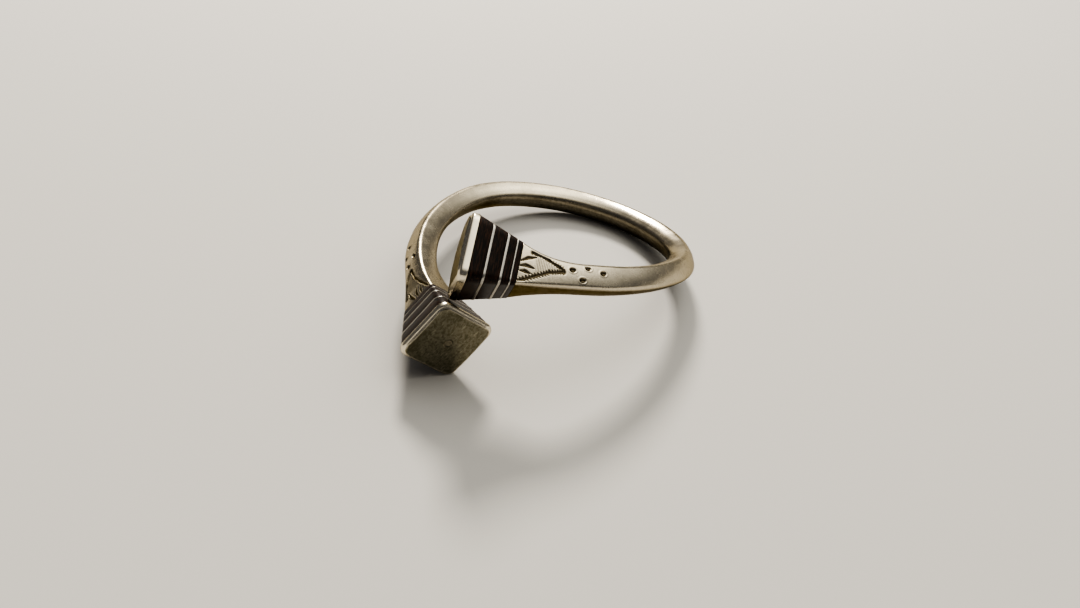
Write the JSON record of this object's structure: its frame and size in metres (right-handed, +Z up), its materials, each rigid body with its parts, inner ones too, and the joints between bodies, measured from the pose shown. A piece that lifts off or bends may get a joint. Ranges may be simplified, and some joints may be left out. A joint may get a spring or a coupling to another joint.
{
  "type": "open bypass finger ring",
  "caption": "Open bypass finger ring: a forged silver band with engraved shoulders and two square tapering terminals of ebony and silver plates.",
  "frame": {"origin": "bottom centre of the bounding box, on the surface that the ring rests on", "axes": "+Z up from the surface, +X along the ring's length from its terminals to the back of the band, +Y across it; the ring lies in its natural resting attitude, with the finger axis leaning 14.5 degrees from +Z"},
  "size_m": [0.0304, 0.0222, 0.0121],
  "materials": {
    "silver_band": "satin",
    "silver_caps": "gloss",
    "silver_plates": "satin",
    "silver_pins": "satin",
    "ebony": "satin"
  },
  "bodies": {
    "root": {"band": "silver_band", "upper_ebony_plate_4": "ebony", "upper_ebony_plate_3": "ebony", "upper_ebony_plate_2": "ebony", "upper_ebony_plate_1": "ebony", "upper_silver_plate_3": "silver_plates", "upper_silver_plate_2": "silver_plates", "upper_silver_plate_1": "silver_plates", "upper_cap": "silver_caps", "upper_pin": "silver_pins", "lower_ebony_plate_4": "ebony", "lower_ebony_plate_3": "ebony", "lower_ebony_plate_2": "ebony", "lower_ebony_plate_1": "ebony", "lower_silver_plate_3": "silver_plates", "lower_silver_plate_2": "silver_plates", "lower_silver_plate_1": "silver_plates", "lower_cap": "silver_caps", "lower_pin": "silver_pins"}
  },
  "joints": []
}
